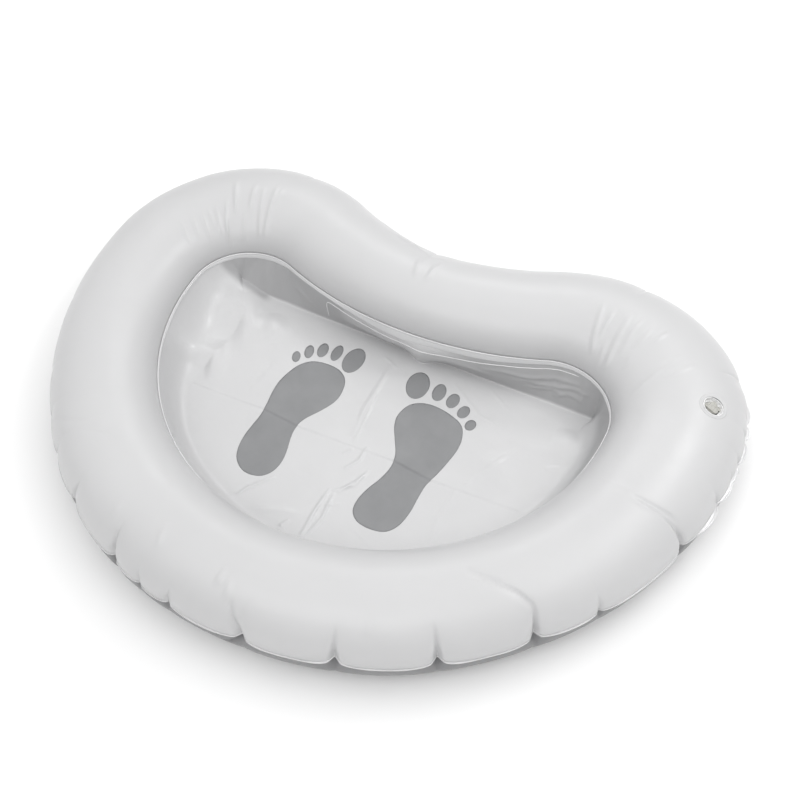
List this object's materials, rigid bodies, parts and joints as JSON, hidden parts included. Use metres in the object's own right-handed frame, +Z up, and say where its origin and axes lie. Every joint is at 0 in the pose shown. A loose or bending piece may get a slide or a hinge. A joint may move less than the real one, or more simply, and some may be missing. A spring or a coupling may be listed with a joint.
{
  "type": "inflatable foot basin",
  "caption": "Kidney-shaped inflatable foot basin: a soft air ring around a thin floor with printed footprints, filled through a push-in valve with a captive stopper.",
  "frame": {"origin": "middle of the base, on the surface the basin stands on", "axes": "+X along the basin's length towards the end with the valve, +Y towards the dented back edge, +Z up"},
  "size_m": [0.648, 0.48, 0.075],
  "materials": {
    "ring_film": "satin white soft vinyl film",
    "weld_band": "glossy pressed weld",
    "floor_film": "glossy thin white vinyl film with fold creases",
    "print_ink": "flat grey ink under the film's gloss",
    "valve_clear": "clear soft moulded vinyl"
  },
  "bodies": {
    "basin": {"ring_top_film": "ring_film", "ring_bottom_film": "ring_film", "outer_weld": "weld_band", "inner_weld": "weld_band", "floor_sheet": "floor_film", "left_sole_print": "print_ink", "left_toe_prints": "print_ink", "right_sole_print": "print_ink", "right_toe_prints": "print_ink", "valve_base": "valve_clear", "valve_web": "valve_clear"},
    "stem": {"valve_stem": "valve_clear"},
    "stopper": {"stopper_plug": "valve_clear", "stopper_strap": "valve_clear"},
    "flap": {"check_flap": "valve_clear"}
  },
  "joints": [
    {"name": "stem_slide", "type": "slide", "parent": "basin", "child": "stem", "axis": [0.2805, 0.1016, 0.9544], "range_m": [0, 0.012], "deforming": ["valve_web"]},
    {"name": "stopper_hinge", "type": "hinge", "parent": "stem", "child": "stopper", "pos_m": [0.29074, 0.11041, 0.06878], "axis": [-0.3405, 0.9403, 0], "range_deg": [0, 110]},
    {"name": "flap_hinge", "type": "hinge", "parent": "stem", "child": "flap", "pos_m": [0.28678, 0.10897, 0.0603], "axis": [0.3405, -0.9403, 0], "range_deg": [0, 70], "stiffness_Nm_per_rad": 0.00005, "springref_deg": -11.46}
  ]
}
